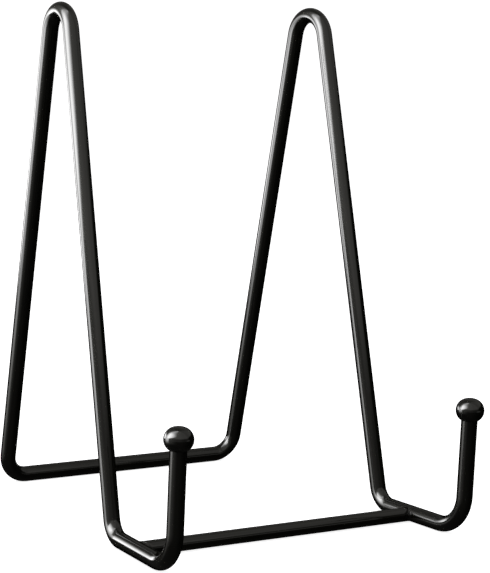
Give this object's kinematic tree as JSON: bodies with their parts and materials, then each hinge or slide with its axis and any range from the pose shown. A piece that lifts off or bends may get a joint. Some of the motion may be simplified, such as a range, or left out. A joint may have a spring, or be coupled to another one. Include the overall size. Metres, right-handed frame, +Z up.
{
  "type": "photo album stand",
  "caption": "Bent steel rod display stand with peaked side frames, upturned front hooks with ball tips, a rear bar and a front crossbar.",
  "frame": {"origin": "on the table plane under the middle of the stand's outer box", "axes": "+Z up, -Y towards the side that the album faces, +X to the right of a person who looks at the album"},
  "size_m": [0.1402, 0.1636, 0.2],
  "materials": {
    "rod_enamel": "black baked enamel on steel rod, between satin and gloss",
    "weld_enamel": "black baked enamel over a small uneven weld",
    "tip_enamel": "black gloss enamel on turned steel tip"
  },
  "bodies": {
    "root": {"frame_rod": "rod_enamel", "front_crossbar": "rod_enamel", "left_weld": "weld_enamel", "right_weld": "weld_enamel", "left_ball_tip": "tip_enamel", "right_ball_tip": "tip_enamel"}
  },
  "joints": []
}
